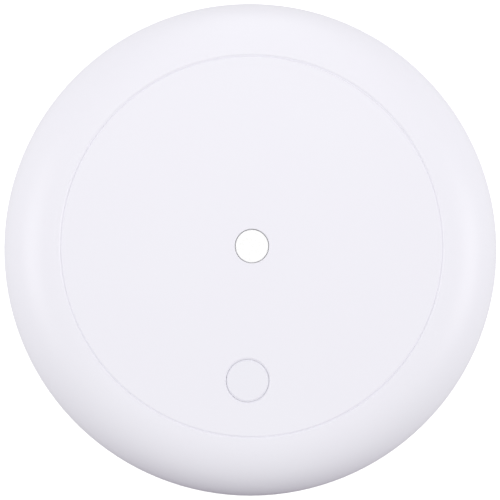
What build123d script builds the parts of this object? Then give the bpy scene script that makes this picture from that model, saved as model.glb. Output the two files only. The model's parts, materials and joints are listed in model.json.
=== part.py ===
"""A battery-powered acoustic glass break detector: a round, flat-faced puck that screws to a wall.

Frame: millimetres. The origin is the centre of the rear base's wall face, +Z points away from the wall
to the front face, and +Y is up the wall, so the test button lies towards -Y.
"""

from build123d import *
import math
import os

# Outside form
outer_diameter = 86.0
overall_depth = 26.0
rim_radius = 9.8
cover_wall = 2.0
rim_inner_facets = 3
seam_gap = 0.3
style_groove_width = 0.6
style_groove_inner_slope = 0.25
style_groove_depth = 0.22

# Microphone port in the middle of the face
port_diameter = 5.9
port_lip = 1.0
port_edge_break = 0.15
plug_gap = 0.1
plug_recess = 0.12
plug_edge_break = 0.15
plug_flange_diameter = 8.6
plug_flange_height = 1.2
plug_flange_gap = 0.05
chimney_wall = 1.3
chimney_length = 2.4

# Test button
button_diameter = 7.3
button_rim_distance = 10.05
button_gap = 0.03
button_edge_break = 0.3
button_travel = 0.5
button_flange_width = 0.75
button_flange_height = 0.8
button_stem_diameter = 3.2
button_guide_wall = 1.2
button_guide_length = 2.0
button_finger_count = 3
button_finger_sweep = 50.0
button_finger_gap = 0.15
button_finger_wall = 0.9
button_finger_grip = 0.35
button_finger_height = 0.5

# Rear base
base_floor = 2.0
base_edge_inset = 0.8
base_edge_break = 0.4
spigot_clearance = 0.3
spigot_wall = 1.6
spigot_height = 7.0
floor_rib_thickness = 1.2
floor_rib_height = 2.5
floor_rib_offset = 8.0
pry_notch_width = 9.0
pry_notch_depth = 1.6
pry_notch_height = 1.2

# Holes for the wall screws
wall_hole_diameter = 4.2
wall_hole_spacing_x = 58.0
wall_hole_spacing_y = 28.0

# Snap fit of the cover
snap_angles = (60.0, 120.0, 270.0)
snap_arm_width = 8.0
snap_arm_thickness = 1.5
snap_arm_gap = 0.7
snap_hook_reach = 1.6
snap_hook_face = 0.8
snap_hook_height = 2.4
catch_engagement = 0.8
catch_height = 1.6
catch_width = 10.0
catch_lift = 0.4
catch_play = 0.2
cover_rib_angles = (0.0, 30.0, 90.0, 150.0, 180.0, 210.0, 240.0, 300.0, 330.0)
cover_rib_thickness = 1.2
cover_rib_inset = 0.1
cover_rib_shoulder = 1.5
cover_rib_top = 15.0

# Circuit board and its posts
board_thickness = 1.6
board_face_distance = 9.0
board_edge_clearance = 1.7
board_straight_edge = 8.2
board_corner_round = 1.5
board_notch_radius = 5.0
post_diameter = 6.0
post_edge_inset = 5.8
post_foot_inset = 3.5
post_side_height = 2.0
post_pilot_diameter = 2.1
post_pilot_depth = 9.0
screw_shank_diameter = 2.0
screw_shank_length = 7.0
screw_head_diameter = 4.4
screw_head_height = 1.5
screw_socket_diameter = 2.2
screw_socket_depth = 0.8
screw_hole_clearance = 0.15

# Battery, one three-volt photo cell
cell_diameter = 17.0
cell_length = 33.3
cell_nub_diameter = 6.4
cell_nub_height = 1.2
cell_edge_break = 0.6
cell_floor_gap = 0.6
cell_side_gap = 1.2
cradle_wall = 1.6
cradle_wall_width = 17.0
cradle_wall_height = 14.4
saddle_thickness = 1.4
saddle_spacing = 10.0
saddle_clearance = 0.1
saddle_drop = 2.0
contact_thickness = 0.3
contact_width = 12.0
contact_foot = 4.0
contact_gap = 0.05
contact_tab_reach = 3.8
contact_tab_height = 2.4
contact_guide_width = 1.5
contact_guide_lip = 0.5
contact_guide_grip = 0.8
spring_wire = 0.6
spring_length = 3.5
spring_turns = 2
spring_large_radius = 4.2
spring_small_radius = 2.2
spring_end_gap = 0.05
spring_arcs_per_turn = 4
spring_points_per_turn = 48

# Microphone and its boot
capsule_diameter = 9.7
capsule_height = 4.5
capsule_clearance = 0.05
capsule_lead_side = 0.5
capsule_lead_pitch = 2.54
boot_wall = 1.3
boot_lip_height = 0.5
boot_opening_diameter = 7.2
felt_thickness = 0.3
felt_clearance = 0.1

# Switches: the one under the test button and the one that senses the cover
switch_side = 6.2
switch_height = 3.5
switch_plate_height = 0.3
switch_clearance = 0.1
switch_overtravel = 0.2
plunger_collar_width = 0.5
plunger_collar_height = 0.7
test_plunger_diameter = 3.4
test_plunger_rise = 1.2
press_gap = 0.05
tamper_plunger_diameter = 2.4
tamper_plunger_rise = 2.2
tamper_travel = 1.0
tamper_place = (-22.2, -6.8)
tamper_post_width = 3.4
tamper_post_thickness = 1.0
lead_width = 0.7
lead_thickness = 0.25
lead_reach = 0.9

# Sensitivity switch with two sliders
dip_place = (-12.5, -16.5)
dip_length = 6.6
dip_width = 6.2
dip_height = 2.6
dip_pitch = 2.54
dip_slot_width = 1.3
dip_slot_depth = 1.2
dip_slider_clearance = 0.1
dip_slider_length = 1.2
dip_slider_proud = 0.4
dip_travel = 1.4

# Other parts on the board
controller_place = (-13.0, -4.5)
controller_side = 7.0
controller_height = 1.2
controller_gap = 0.1
controller_pin_count = 6
controller_pin_pitch = 1.0
controller_pin_width = 0.36
controller_pin_reach = 1.0
controller_pin_thickness = 0.2
controller_edge_break = 0.15
radio_place = (14.5, -6.5)
radio_length = 15.0
radio_width = 12.0
radio_height = 2.3
radio_corner_break = 0.8
radio_can_wall = 0.3
radio_vent_side = 0.9
radio_vent_pitch = 3.0
radio_chip_side = 5.0
radio_chip_height = 0.9
crystal_place = (-13.0, 4.2)
crystal_length = 5.0
crystal_width = 3.2
crystal_height = 1.1
crystal_corner_break = 0.4
capacitor_place = (11.8, 4.2)
capacitor_diameter = 6.3
capacitor_height = 5.6
capacitor_base_side = 6.6
capacitor_base_height = 1.0
capacitor_edge_break = 0.5
capacitor_score_width = 0.3
capacitor_score_depth = 0.15
led_button_distance = 6.4
led_length = 3.5
led_width = 2.8
led_height = 1.3
led_lens_side = 1.9
led_lens_height = 0.5
antenna_radius = 30.0
antenna_start = 290.0
antenna_sweep = 32.0
antenna_thickness = 0.4
antenna_strip_height = 2.0
antenna_leg_height = 2.0
antenna_leg_sweep = 3.0
chip_long = 2.0
chip_short = 1.25
chip_height = 0.55
chip_places = (
    (-21.0, 1.6, 90.0),
    (-17.2, 2.4, 0.0),
    (-7.8, 3.4, 90.0),
    (-6.4, -9.2, 90.0),
    (-3.2, -12.4, 0.0),
    (2.6, -11.0, 0.0),
    (4.6, -14.2, 90.0),
    (10.0, -15.4, 0.0),
    (14.0, -15.4, 0.0),
    (18.4, -15.6, 90.0),
    (22.0, 4.4, 90.0),
    (-18.6, -13.6, 0.0),
    (-19.4, -19.0, 90.0),
    (-5.6, -20.6, 90.0),
)

# How far a solid reaches into the one it is joined to or cut from, and how closely a place is matched
overlap = 0.4
place_tolerance = 1e-4

# Heights and radii worked out from the sizes above
face_inside = overall_depth - cover_wall
rim_centre_radius = outer_diameter / 2 - rim_radius
rim_centre_height = overall_depth - rim_radius
skirt_bottom = base_floor + seam_gap
board_top = face_inside - board_face_distance
board_bottom = board_top - board_thickness
seat_height = base_floor + spigot_height
chimney_bottom = face_inside - chimney_length
boot_top = chimney_bottom
guide_bottom = face_inside - button_guide_length
button_offset = rim_centre_radius - button_rim_distance
led_place = (led_button_distance, -button_offset)
aperture_radius = button_diameter / 2 + button_gap
button_flange_radius = aperture_radius + button_flange_width
switch_top = board_top + switch_height
dip_slot_length = dip_slider_length + dip_travel + 2 * dip_slider_clearance
spigot_radius = outer_diameter / 2 - cover_wall - spigot_clearance
spigot_inside = spigot_radius - spigot_wall
arm_outside = spigot_inside - snap_arm_gap
arm_inside = arm_outside - snap_arm_thickness
hook_radius = arm_outside + snap_hook_reach
catch_radius = hook_radius - catch_engagement
catch_bottom = seat_height + catch_lift
catch_top = catch_bottom + catch_height
hook_bottom = catch_top + catch_play
board_radius = arm_inside - board_edge_clearance
post_side = board_radius - post_edge_inset
post_foot = board_radius - post_foot_inset
post_places = ((-post_side, post_side_height), (post_side, post_side_height), (0.0, -post_foot))
capsule_lead_places = [(side * capsule_lead_pitch / 2, 0.0) for side in (-1, 1)]
wall_hole_places = [(x * wall_hole_spacing_x / 2, y * wall_hole_spacing_y / 2)
                    for x in (-1, 1) for y in (-1, 1)]
cell_centre_y = board_straight_edge + cell_side_gap + cell_diameter / 2
cell_centre_z = base_floor + cell_floor_gap + cell_diameter / 2
bay_length = spring_length + cell_length + cell_nub_height
bay_end = bay_length / 2
cell_start_x = -bay_end + spring_length
cradle_inside = bay_end + contact_thickness + contact_gap


def disc(radius, bottom, top, place=(0.0, 0.0)):
    """An upright round solid between two heights."""
    return Pos(place[0], place[1], bottom) * Cylinder(
        radius, top - bottom, align=(Align.CENTER, Align.CENTER, Align.MIN))


def ring(outside, inside, bottom, top, place=(0.0, 0.0)):
    """An upright tube between two heights."""
    return disc(outside, bottom, top, place) - disc(inside, bottom - overlap, top + overlap, place)


def block(size_x, size_y, bottom, top, place=(0.0, 0.0)):
    """An upright block centred on a place, between two heights."""
    return Pos(place[0], place[1], bottom) * Box(
        size_x, size_y, top - bottom, align=(Align.CENTER, Align.CENTER, Align.MIN))


def turned(*outline):
    """A solid of revolution about Z from points given as (radius, height)."""
    return revolve(Plane.XZ * make_face(Polyline(*outline, close=True)), Axis.Z)


def on_plane(plane, *outline):
    """A flat face on a plane from points in that plane."""
    return plane * make_face(Polyline(*outline, close=True))


def front_edges(part, height):
    """The round edges of a part that lie at one height."""
    return part.edges().filter_by(GeomType.CIRCLE).filter_by_position(
        Axis.Z, height - place_tolerance, height + place_tolerance)


def rim_point(radius, share):
    """A point on the rim's quarter circle, from its outer end at 0 to the face at 1."""
    angle = share * math.pi / 2
    return (rim_centre_radius + radius * math.cos(angle), rim_centre_height + radius * math.sin(angle))


def outside_form():
    """The cover's outside, filled: a flat face, a rolled rim and a straight skirt."""
    rim = ThreePointArc(*[rim_point(rim_radius, share) for share in (0.0, 0.5, 1.0)])
    side = Polyline((rim_centre_radius, overall_depth), (0, overall_depth), (0, skirt_bottom),
                    (outer_diameter / 2, skirt_bottom), (outer_diameter / 2, rim_centre_height))
    return revolve(Plane.XZ * make_face([rim, side]), Axis.Z)


def inside_form(inset):
    """A filled form an inset within the outside, with a short straight facet at each step of the rim."""
    rim = [rim_point(rim_radius - inset, step / rim_inner_facets) for step in range(rim_inner_facets + 1)]
    return turned((0, skirt_bottom - overlap), (outer_diameter / 2 - inset, skirt_bottom - overlap),
                  *rim, (0, overall_depth - inset))


def front_cover():
    """The moulded front shell: rolled rim, styling groove, port, button guide, ribs and snap catches."""
    cover = outside_form() - inside_form(cover_wall)

    groove_inside = rim_centre_radius - style_groove_width
    cover -= turned((groove_inside, overall_depth + overlap), (groove_inside, overall_depth),
                    (groove_inside + style_groove_inner_slope, overall_depth - style_groove_depth),
                    (rim_centre_radius, overall_depth), (rim_centre_radius, overall_depth + overlap))

    bore_radius = plug_flange_diameter / 2 + plug_flange_gap
    cover += disc(bore_radius + chimney_wall, chimney_bottom, face_inside + overlap)
    cover -= disc(bore_radius, chimney_bottom - overlap, overall_depth - port_lip)
    cover -= disc(port_diameter / 2, chimney_bottom, overall_depth + overlap)

    cover += button_guide()
    cover -= disc(aperture_radius, guide_bottom - overlap, overall_depth + overlap, (0.0, -button_offset))

    tamper_top = switch_top + tamper_plunger_rise
    for turn in (0, 90):
        cover += Pos(*tamper_place) * Rot(0, 0, turn) * block(
            tamper_post_width, tamper_post_thickness, tamper_top, face_inside + overlap)

    inside = inside_form(cover_wall / 2)
    foot = spigot_inside + cover_rib_inset
    plate = on_plane(Plane.XZ, (foot, seat_height), (outer_diameter / 2, seat_height),
                     (outer_diameter / 2, cover_rib_top), (foot, seat_height + cover_rib_shoulder))
    rib = extrude(plate, cover_rib_thickness / 2, both=True)
    for angle in cover_rib_angles:
        cover += Rot(0, 0, angle) * rib & inside

    catch_ring = turned((catch_radius, catch_bottom + catch_height / 2), (catch_radius, catch_top),
                        (outer_diameter / 2, catch_top), (outer_diameter / 2, catch_bottom),
                        (catch_radius + catch_height / 2, catch_bottom))
    for angle in snap_angles:
        sector = Pos(outer_diameter / 2, 0, 0) * Box(outer_diameter, catch_width, outer_diameter)
        cover += Rot(0, 0, angle) * (catch_ring & sector) & inside

    for radius, edge_break in ((port_diameter / 2, port_edge_break), (aperture_radius, button_edge_break)):
        cover = chamfer(front_edges(cover, overall_depth).filter_by(
            lambda edge: abs(edge.radius - radius) < place_tolerance), edge_break)
    return cover


def button_guide():
    """The sleeve round the button, with the sprung fingers that stop its flange from dropping out."""
    sleeve = disc(aperture_radius + button_guide_wall, guide_bottom, face_inside + overlap)
    finger_inside = button_flange_radius + button_finger_gap
    finger_outside = finger_inside + button_finger_wall
    grip_top = guide_bottom - button_flange_height - button_travel - switch_clearance
    grip_bottom = grip_top - button_finger_height
    grip_radius = finger_inside - button_finger_grip
    grip_edge_break = button_finger_height / 2
    profile = on_plane(Plane.XZ, (grip_radius, grip_top), (grip_radius, grip_bottom + grip_edge_break),
                       (grip_radius + grip_edge_break, grip_bottom), (finger_outside, grip_bottom),
                       (finger_outside, face_inside + overlap), (finger_inside, face_inside + overlap),
                       (finger_inside, grip_top))
    finger = Rot(0, 0, 90 - button_finger_sweep / 2) * revolve(profile, Axis.Z, button_finger_sweep)
    for index in range(button_finger_count):
        sleeve += Rot(0, 0, index * 360 / button_finger_count) * finger
    return Pos(0, -button_offset, 0) * sleeve


def acoustic_plug():
    """The porous disc that closes the port and lets sound through, with its seating flange."""
    flange_top = overall_depth - port_lip
    face = overall_depth - plug_recess
    plug = disc(port_diameter / 2 - plug_gap, flange_top - overlap, face)
    plug = chamfer(front_edges(plug, face), plug_edge_break)
    return plug + disc(plug_flange_diameter / 2, flange_top - plug_flange_height, flange_top)


def test_button():
    """The button cap with the flange that keeps it in its guide and the stem that presses the switch."""
    place = (0.0, -button_offset)
    flange_bottom = guide_bottom - button_flange_height
    stem_bottom = switch_top + test_plunger_rise + press_gap
    cap = disc(button_diameter / 2, flange_bottom, overall_depth, place)
    cap = chamfer(front_edges(cap, overall_depth), button_edge_break)
    cap += disc(button_flange_radius, flange_bottom, guide_bottom, place)
    return cap + disc(button_stem_diameter / 2, stem_bottom, flange_bottom + overlap, place)


def rear_base():
    """The moulded base: wall face, spigot, board posts, battery cradle and wall screw holes."""
    edge_radius = outer_diameter / 2 - base_edge_inset
    base = disc(edge_radius, 0, base_floor)
    base = chamfer(front_edges(base, 0), base_edge_break)
    base -= Pos(0, -edge_radius, base_floor) * Box(pry_notch_width, 2 * pry_notch_depth, 2 * pry_notch_height)
    base += ring(spigot_radius, spigot_inside, base_floor - overlap, seat_height)

    room = disc(spigot_inside + spigot_wall / 2, 0, overall_depth)
    below_cradle = Pos(0, board_straight_edge - outer_diameter, 0) * Box(
        outer_diameter * 2, outer_diameter * 2, outer_diameter)
    rib_top = base_floor + floor_rib_height
    ribs = block(outer_diameter, floor_rib_thickness, base_floor - overlap, rib_top, (0, -floor_rib_offset))
    for side in (-1, 1):
        ribs += block(floor_rib_thickness, outer_diameter, base_floor - overlap, rib_top,
                      (side * floor_rib_offset, 0))
    for angle in snap_angles:
        ribs -= Rot(0, 0, angle) * Pos(arm_inside, 0, rib_top) * Box(
            2 * snap_arm_width, snap_arm_width + 2 * snap_arm_gap, 2 * floor_rib_height)
    base += ribs & room & below_cradle

    for place in post_places:
        base += disc(post_diameter / 2, base_floor - overlap, board_bottom, place)
        base -= disc(post_pilot_diameter / 2, board_bottom - post_pilot_depth, board_bottom + overlap, place)

    for place in wall_hole_places:
        base -= disc(wall_hole_diameter / 2, -overlap, board_bottom, place)
    return base + battery_cradle()


def cradle_end():
    """The cradle's wall at its +X end, with the two grooved guides that the contact drops into."""
    wall = block(cradle_wall, cradle_wall_width, base_floor - overlap,
                 base_floor + cradle_wall_height, (cradle_inside + cradle_wall / 2, cell_centre_y))
    guide_start = bay_end - contact_gap - contact_guide_lip
    guide_depth = cradle_inside - guide_start + overlap
    guide_middle = contact_width / 2 - contact_guide_grip + (contact_guide_grip + contact_guide_width) / 2
    for side in (-1, 1):
        wall += block(guide_depth, contact_guide_grip + contact_guide_width, base_floor - overlap,
                      board_top - contact_guide_lip,
                      (guide_start + guide_depth / 2, cell_centre_y + side * guide_middle))
    groove = block(cradle_inside - bay_end + contact_gap, contact_width + 2 * contact_gap, contact_foot,
                   overall_depth, ((cradle_inside + bay_end - contact_gap) / 2, cell_centre_y))
    return wall - groove


def battery_cradle():
    """End walls for the contacts and the saddles that the cell lies in."""
    cradle = cradle_end() + mirror(cradle_end(), Plane.YZ)
    hollow = Pos(0, cell_centre_y, cell_centre_z) * Rot(0, 90, 0) * Cylinder(
        cell_diameter / 2 + saddle_clearance, bay_length)
    for step in (-1, 0, 1):
        saddle = block(saddle_thickness, cell_diameter, base_floor - overlap,
                       cell_centre_z - saddle_drop, (step * saddle_spacing, cell_centre_y))
        cradle += saddle - hollow
    return cradle


def snap_arms():
    """The three sprung arms whose hooks hold the cover's catches."""
    arm = on_plane(Plane.XZ, (arm_inside, base_floor), (arm_outside, base_floor),
                   (arm_outside, hook_bottom), (hook_radius, hook_bottom),
                   (hook_radius, hook_bottom + snap_hook_face),
                   (arm_outside, hook_bottom + snap_hook_height),
                   (arm_inside, hook_bottom + snap_hook_height))
    arm = extrude(arm, snap_arm_width / 2, both=True)
    return Compound([Rot(0, 0, angle) * arm for angle in snap_angles])


def circuit_board():
    """The glass-fibre board: round, with a straight edge beside the battery."""
    outline = Circle(board_radius) & Pos(0, board_straight_edge - board_radius) * Rectangle(
        2 * board_radius, 2 * board_radius)
    for place in wall_hole_places:
        outline -= Pos(*place) * Circle(board_notch_radius)
    for place in post_places:
        outline -= Pos(*place) * Circle(screw_shank_diameter / 2 + screw_hole_clearance)
    corners = outline.vertices().filter_by_position(
        Axis.Y, board_straight_edge - place_tolerance, board_straight_edge + place_tolerance)
    outline = fillet(corners, board_corner_round)
    return Pos(0, 0, board_bottom) * extrude(outline, board_thickness)


def board_screws():
    """The three screws that hold the board to its posts."""
    screws = []
    for place in post_places:
        head_top = board_top + screw_head_height
        screw = disc(screw_head_diameter / 2, board_top, head_top, place)
        socket = Pos(place[0], place[1], head_top - screw_socket_depth) * extrude(
            RegularPolygon(screw_socket_diameter / 2, 6), screw_head_height)
        screw += disc(screw_shank_diameter / 2, board_top - screw_shank_length, board_top + overlap, place)
        screws.append(screw - socket)
    return Compound(screws)


def microphone_boot():
    """The soft boot that holds the capsule up to the port and keeps board noise out of it."""
    inside = capsule_diameter / 2 + capsule_clearance
    capsule_top = boot_top - boot_lip_height
    boot = disc(inside + boot_wall, board_top, boot_top)
    boot -= disc(inside, capsule_top - capsule_height - capsule_clearance, capsule_top)
    for place in capsule_lead_places:
        hole_side = capsule_lead_side + 2 * capsule_clearance
        boot -= block(hole_side, hole_side, board_bottom, capsule_top - overlap, place)
    return boot - disc(boot_opening_diameter / 2, capsule_top - overlap, boot_top + overlap)


def microphone_capsule():
    """The electret capsule's can."""
    top = boot_top - boot_lip_height
    return disc(capsule_diameter / 2, top - capsule_height, top)


def microphone_leads():
    """The capsule's two pins, which pass through the boot to the board."""
    capsule_bottom = boot_top - boot_lip_height - capsule_height
    return Compound([block(capsule_lead_side, capsule_lead_side, board_top, capsule_bottom, place)
                     for place in capsule_lead_places])


def microphone_felt():
    """The felt disc on the capsule's front."""
    bottom = boot_top - boot_lip_height
    return disc(boot_opening_diameter / 2 - felt_clearance, bottom, bottom + felt_thickness)


def switch_body(place, plunger_diameter, travel):
    """A push switch's moulded body, with the pocket that its plunger's collar works in."""
    body_top = switch_top - switch_plate_height
    body = block(switch_side, switch_side, board_top, body_top, place)
    pocket_bottom = body_top - plunger_collar_height - travel - switch_overtravel
    pocket_side = plunger_diameter + 2 * (plunger_collar_width + switch_clearance)
    return body - block(pocket_side, pocket_side, pocket_bottom, switch_top, place)


def switch_plate(place, plunger_diameter):
    """The stamped plate on top of a push switch."""
    plate = block(switch_side, switch_side, switch_top - switch_plate_height, switch_top, place)
    return plate - disc(plunger_diameter / 2 + switch_clearance, board_top, switch_top + overlap, place)


def plunger(place, diameter, rise, pressed):
    """A round plunger whose square collar is held under the plate, and lies lower where it is pressed."""
    collar_top = switch_top - switch_plate_height - pressed
    collar_side = diameter + 2 * plunger_collar_width
    collar = block(collar_side, collar_side, collar_top - plunger_collar_height, collar_top, place)
    return collar + disc(diameter / 2, collar_top - overlap, switch_top + rise, place)


def switch_leads(*places):
    """The soldered leads of the push switches, two on each side of each."""
    leads = []
    half = switch_side / 2
    foot_top = board_top + lead_thickness
    shoulder = board_top + switch_height / 2
    profile = on_plane(Plane.XZ, (half, board_top), (half + lead_reach, board_top),
                       (half + lead_reach, foot_top), (half + lead_thickness, foot_top),
                       (half + lead_thickness, shoulder), (half, shoulder))
    lead = extrude(profile, lead_width / 2, both=True)
    for place in places:
        for turn in (0, 180):
            for side in (-1, 1):
                leads.append(Pos(place[0], place[1], 0) * Rot(0, 0, turn) * Pos(0, side * half / 2, 0) * lead)
    return Compound(leads)


def dip_slot_centre(index):
    """The middle of one slider's slot."""
    return (dip_place[0] + (index - 0.5) * dip_pitch, dip_place[1])


def dip_switch_body():
    """The sensitivity switch's body, with a slot for each slider."""
    top = board_top + dip_height
    body = block(dip_length, dip_width, board_top, top, dip_place)
    for index in (0, 1):
        body -= block(dip_slot_width, dip_slot_length, top - dip_slot_depth, top + overlap,
                      dip_slot_centre(index))
    return body


def dip_slider(index):
    """One slider of the sensitivity switch, at the lower end of its slot."""
    top = board_top + dip_height
    centre_x, centre_y = dip_slot_centre(index)
    start_y = centre_y - dip_slot_length / 2 + dip_slider_clearance + dip_slider_length / 2
    return block(dip_slot_width - 2 * dip_slider_clearance, dip_slider_length,
                 top - dip_slot_depth, top + dip_slider_proud, (centre_x, start_y))


def controller_body():
    """The microcontroller's moulded package."""
    bottom = board_top + controller_gap
    body = block(controller_side, controller_side, bottom, bottom + controller_height, controller_place)
    return chamfer(body.edges().group_by(Axis.Z)[-1], controller_edge_break)


def controller_leads():
    """Gull-wing leads on the four sides of the microcontroller."""
    half = controller_side / 2
    shoulder = board_top + controller_gap + controller_height / 2
    knee = half + controller_pin_reach / 3
    under = shoulder - controller_pin_thickness
    profile = on_plane(Plane.XZ, (half, shoulder), (knee, shoulder), (half + controller_pin_reach, board_top),
                       (knee, board_top), (knee - controller_pin_thickness, under), (half, under))
    lead = extrude(profile, controller_pin_width / 2, both=True)
    leads = []
    for turn in (0, 90, 180, 270):
        for index in range(controller_pin_count):
            offset = (index - (controller_pin_count - 1) / 2) * controller_pin_pitch
            leads.append(Pos(controller_place[0], controller_place[1], 0)
                         * Rot(0, 0, turn) * Pos(0, offset, 0) * lead)
    return Compound(leads)


def radio_shield():
    """The pressed can over the radio chip, open below, with a grid of vent holes."""
    top = board_top + radio_height
    can = block(radio_length, radio_width, board_top, top, radio_place)
    can = chamfer(can.edges().filter_by(Axis.Z), radio_corner_break)
    hollow = block(radio_length - 2 * radio_can_wall, radio_width - 2 * radio_can_wall,
                   board_top - overlap, top - radio_can_wall, radio_place)
    can -= chamfer(hollow.edges().filter_by(Axis.Z), radio_corner_break)
    for column in (-1, 0, 1):
        for row in (-0.5, 0.5):
            place = (radio_place[0] + column * radio_vent_pitch, radio_place[1] + row * radio_vent_pitch)
            can -= block(radio_vent_side, radio_vent_side, board_top, top + overlap, place)
    return can


def radio_chip():
    """The radio chip under the can."""
    return block(radio_chip_side, radio_chip_side, board_top, board_top + radio_chip_height, radio_place)


def timing_crystal():
    """The crystal's metal can."""
    can = block(crystal_length, crystal_width, board_top, board_top + crystal_height, crystal_place)
    return chamfer(can.edges().filter_by(Axis.Z), crystal_corner_break)


def capacitor_base():
    """The plastic seat under the bulk capacitor."""
    return block(capacitor_base_side, capacitor_base_side, board_top,
                 board_top + capacitor_base_height, capacitor_place)


def bulk_capacitor():
    """The capacitor's aluminium can, scored across the top."""
    top = board_top + capacitor_base_height + capacitor_height
    can = disc(capacitor_diameter / 2, board_top + capacitor_base_height, top, capacitor_place)
    can = chamfer(front_edges(can, top), capacitor_edge_break)
    score_length = capacitor_diameter - 3 * capacitor_edge_break
    for turn in (0, 90):
        score = block(score_length, capacitor_score_width, top - capacitor_score_depth, top + overlap)
        can -= Pos(capacitor_place[0], capacitor_place[1], 0) * Rot(0, 0, turn) * score
    return can


def status_led_body():
    """The status light's moulded package, with the cup for its lens."""
    top = board_top + led_height
    body = block(led_length, led_width, board_top, top, led_place)
    return body - block(led_lens_side, led_lens_side, top - led_lens_height, top + overlap, led_place)


def status_led_lens():
    """The status light's clear lens, flush with its package."""
    top = board_top + led_height
    return block(led_lens_side, led_lens_side, top - led_lens_height, top, led_place)


def antenna_strip():
    """The stamped strip antenna that stands on two legs along the board's edge."""
    bottom = board_top + antenna_leg_height
    outside = antenna_radius + antenna_thickness

    def sector(low, high, start, sweep):
        face = on_plane(Plane.XZ, (antenna_radius, low), (outside, low), (outside, high),
                        (antenna_radius, high))
        return Rot(0, 0, start) * revolve(face, Axis.Z, sweep)

    strip = sector(bottom, bottom + antenna_strip_height, antenna_start, antenna_sweep)
    strip += sector(board_top, bottom + overlap, antenna_start, antenna_leg_sweep)
    feed = antenna_start + antenna_sweep / 3
    return strip + sector(board_top, bottom + overlap, feed, antenna_leg_sweep)


def chip_components():
    """The small resistors and capacitors on the board."""
    return Compound([
        Pos(x, y, board_top) * Rot(0, 0, turn) * Box(
            chip_long, chip_short, chip_height, align=(Align.CENTER, Align.CENTER, Align.MIN))
        for x, y, turn in chip_places])


def along_cell(radius, start, end):
    """A round solid on the cell's axis between two places along X."""
    middle = Pos((start + end) / 2, cell_centre_y, cell_centre_z)
    return middle * Rot(0, 90, 0) * Cylinder(radius, end - start)


def battery_cell():
    """The cell's steel can and its raised positive end."""
    end = cell_start_x + cell_length
    can = along_cell(cell_diameter / 2, cell_start_x, end)
    can = chamfer(can.edges().filter_by(GeomType.CIRCLE), cell_edge_break)
    return can + along_cell(cell_nub_diameter / 2, end - overlap, end + cell_nub_height)


def battery_contact(side):
    """A stamped contact plate against the cradle's end wall, with a tab that stands on the board."""
    left = cell_centre_y - contact_width / 2
    right = cell_centre_y + contact_width / 2
    tab_end = board_straight_edge - contact_tab_reach
    tab_top = board_top + contact_tab_height
    plate = on_plane(Plane.YZ, (left, contact_foot), (right, contact_foot), (right, tab_top),
                     (tab_end, tab_top), (tab_end, board_top), (left, board_top))
    plate = extrude(plate, contact_thickness)
    start = bay_end if side > 0 else -bay_end - contact_thickness
    return Pos(start, 0, 0) * plate


def battery_spring():
    """The conical spring that pushes the cell to its positive contact, one unbroken wire."""
    start = -bay_end + spring_end_gap + spring_wire / 2
    advance = spring_length - 2 * spring_end_gap - spring_wire
    narrowing = spring_small_radius - spring_large_radius
    turning = 2 * math.pi * spring_turns

    def place(share):
        turn = turning * share
        radius = spring_large_radius + narrowing * share
        return Vector(start + advance * share,
                      cell_centre_y + radius * math.cos(turn), cell_centre_z + radius * math.sin(turn))

    def heading(share):
        turn = turning * share
        radius = spring_large_radius + narrowing * share
        return Vector(advance, narrowing * math.cos(turn) - radius * turning * math.sin(turn),
                      narrowing * math.sin(turn) + radius * turning * math.cos(turn)).normalized()

    arc_count = spring_arcs_per_turn * spring_turns
    arcs = []
    for index in range(arc_count):
        first, last = index / arc_count, (index + 1) / arc_count
        arcs += biarc(place(first), heading(first), place(last), heading(last))
    section = Plane(origin=place(0), z_dir=heading(0)) * RegularPolygon(spring_wire / 2, 6)

    point_count = spring_points_per_turn * spring_turns
    points = [place(index / point_count) for index in range(point_count + 1)]
    gap = min((near - far).length for index, near in enumerate(points)
              for far in points[index + spring_points_per_turn // 2:]) - spring_wire
    print(f"battery_spring least gap to itself {gap:.2f} mm")
    return sweep(section, Wire(arcs))


def biarc(start, start_heading, end, end_heading):
    """Two arcs that meet smoothly and join two points along two headings."""
    chord = end - start
    total = start_heading + end_heading
    a = total.dot(total) - 4
    b = -2 * chord.dot(total)
    c = chord.dot(chord)
    reach = (-b - math.sqrt(b * b - 4 * a * c)) / (2 * a)
    first_corner = start + start_heading * reach
    last_corner = end - end_heading * reach
    middle = (first_corner + last_corner) / 2
    return [TangentArc(start, middle, tangent=start_heading),
            TangentArc(middle, end, tangent=last_corner - first_corner)]


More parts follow.
